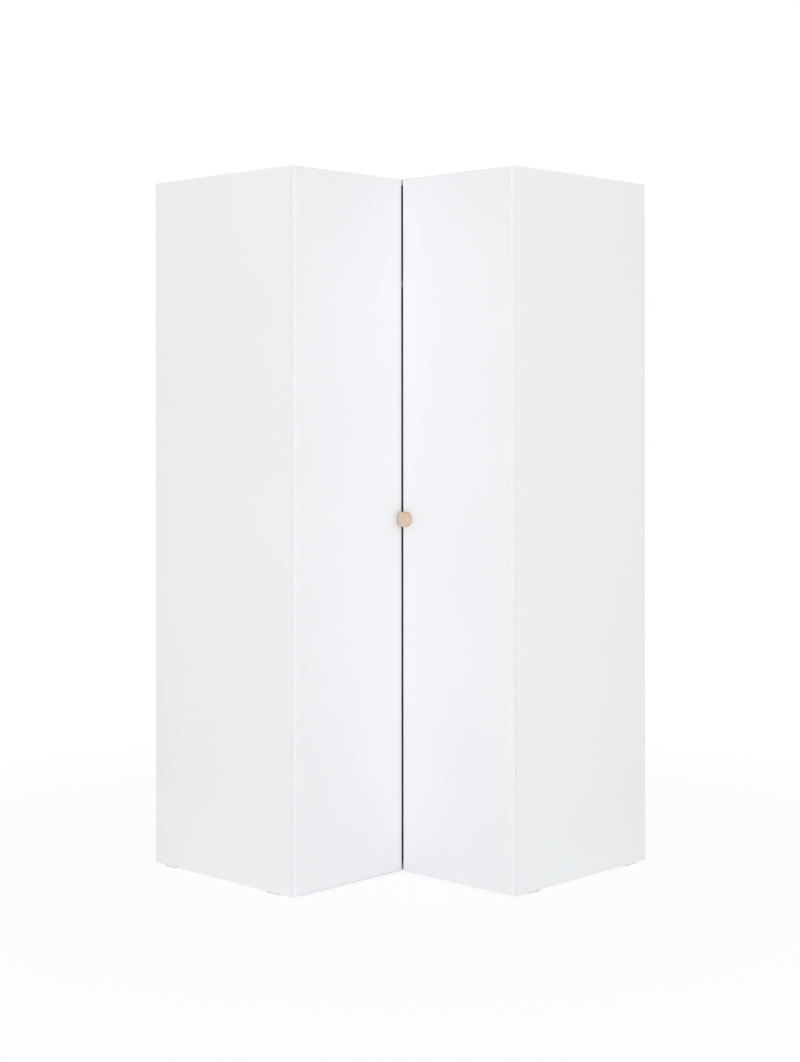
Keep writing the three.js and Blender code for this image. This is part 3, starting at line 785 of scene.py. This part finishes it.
forward = np.concatenate([np.linspace(-66, -10, 5), np.linspace(-9, 8, 18)])[:, None]
strip = shell(channel(forward, half=6.8 - 2.3 * smooth((forward + 9) / 6),
                      top=9.5 - 2.4 * smooth((forward + 5) / 7)))
arm = together(strip, *(put(screw_head(3, 0.8, (0, 0, 0)), [FORWARD, UP, INWARD], (back, 9.5, 0))
                        for back in (-14, -38)))
print("arm", len(arm[1]), "triangles")

# %% [markdown]
# Between arm and cup the real hinge has links that fold as the door swings. The motion model has
# one fixed pole in their place. The links here are a pair of plates on two pins, set at each
# hinge and not attached to any body.

# %% Links
LINK_START, LINK_END = np.array([-1.5, 5.5, 0]), np.array([8.5, 2.5, 0])
LINK_LENGTH = np.linalg.norm(LINK_END - LINK_START)
along = (LINK_END - LINK_START) / LINK_LENGTH


def link_plate(across, half_width=2.5, half_thick=0.6):
    """A plate with round ends along the link's line. Half width = sqrt(w^2 - d^2), where d is the
    way past the nearer pin and 0 between the pins."""
    turn = np.linspace(0, np.pi / 2, 7)
    way = np.concatenate([-half_width * np.cos(turn), np.linspace(0, LINK_LENGTH, 31)[1:-1],
                          LINK_LENGTH + half_width * np.sin(turn)])
    past = np.maximum(np.maximum(-way, way - LINK_LENGTH), 0)
    half = np.sqrt(np.maximum(half_width ** 2 - past ** 2, 0))[:, None, None]
    middle = LINK_START + way[:, None] * along + across * UP
    ring = np.array([[1, 1], [-1, 1], [-1, -1], [1, -1]])
    beside = np.cross(UP, along)
    return shell(middle[:, None] + half * ring[:, :1] * beside + half_thick * ring[:, 1:] * UP)


PIN = np.array([[0, -7], [1.1, -7], [1.5, -6.6], [1.5, 6.6], [1.1, 7], [0, 7]])
links = together(link_plate(-5.8), link_plate(5.8),
                 *(put(shell(turned(PIN, 16)), [FORWARD, INWARD, UP], end)
                   for end in (LINK_START, LINK_END)))

# %% Eight hinges
for side in ("left", "right"):
    for i in range(1, 5):
        low, high = corners_mm(f"{side}_hinge_cup_{i}")
        height = (low[2] + high[2]) / 2
        for name, skin, body in (("plate", plate, "carcass"), ("arm", arm, "carcass"),
                                 ("cup", cup, f"{side}_leaf")):
            piece(f"{side}_{name}_{i}", at_hinge(skin, side, height), nickel, body,
                  [f"{side}_hinge_{name}_{i}"])
        made = piece(f"{side}_links_{i}", at_hinge(links, side, height), nickel,
                     None)
        ends = np.array([LINK_START + 2 * along, LINK_END - 2 * along])
        start, end = at_hinge((ends, np.zeros((0, 3), int)), side, height)[0] * MM
        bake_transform(made)
print("8 hinges, links", round(LINK_LENGTH, 1), "mm between pins")

# %% [markdown]
# ## Glides, bumpers, screw and covers
#
# The wardrobe stands on flat glides with a rounded sole. Soft domes keep the doors from knocking
# on the boards. The knob's screw comes through the door from behind, and its cross head shows
# inside. Flat caps cover the fittings that draw the boards together, under the top and the hat
# shelf, near the side panels.

# %% Glides and bumpers
for name in [name for name in nodes if name.startswith("glide_")]:
    low, high = corners_mm(name)
    middle, along_x = (low + high) / 2, high[0] - low[0] > high[1] - low[1]
    long, wide = np.sort((high - low)[:2])[::-1]
    sole = shell(stack(stadium(long, wide), eased(high[2] - low[2], 1.3, 0.3)))
    piece(name.replace("glide", "foot"), put(sole, [X, Y, Z] if along_x else [Y, -X, Z],
                                              (middle[0], middle[1], low[2])),
          white_plastic, "carcass", [name])

turn = np.linspace(0, np.pi / 2, 8)
dome = np.concatenate([[[0, 0], [4, 0]],
                       np.stack([4 * np.cos(turn), 0.4 + 1.3 * np.sin(turn)], -1)])
dome = shell(turned(dome, 24))
for side, out in (("left", -X), ("right", Y)):
    for end in ("low", "high"):
        low, high = corners_mm(f"{side}_bumper_{end}")
        middle = (low + high) / 2
        foot = np.where(out < 0, high, np.where(out > 0, low, middle))
        piece(f"{side}_dome_{end}", put(dome, [Z, np.cross(out, Z), out], foot), milky_plastic,
              f"{side}_leaf", [f"{side}_bumper_{end}"])
print("8 glides and 4 bumpers")

# %% Knob's screw and caps over the fittings
low, high = corners_mm("knob_screw")
middle = (low + high) / 2
door_back = corners_mm("right_door")[1][1]
tip = door_back - low[1]
shank = shell(turned(np.array([[0, -0.5], [2, -0.5], [2, tip - 1], [1.2, tip], [0, tip]]), 16))
middle[1] = door_back
screw = together(put(screw_head(4, high[1] - door_back, (0, 0, 0)), [X, Z, Y], middle),
                 put(shank, [X, Z, -Y], middle))
piece("knob_cross_screw", screw, nickel, "right_leaf", ["knob_screw"])

cap = np.array([[0, -0.3], [8.5, -0.3], [8.5, 0.5], [8.3, 0.8], [7.8, 1.0], [0, 1.0]])
cap = shell(turned(cap, 32))
row = side_face + 34
places = [(-400, row), (-20, row), (-row, 400), (-row, 20)]
caps = [put(cap, [X, -Y, -Z], (*place, corners_mm(board_name)[0][2]))
        for board_name in ("hat_shelf", "top_panel") for place in places]
piece("fitting_caps", together(*caps), white_plastic, "carcass")
print(len(caps), "caps")
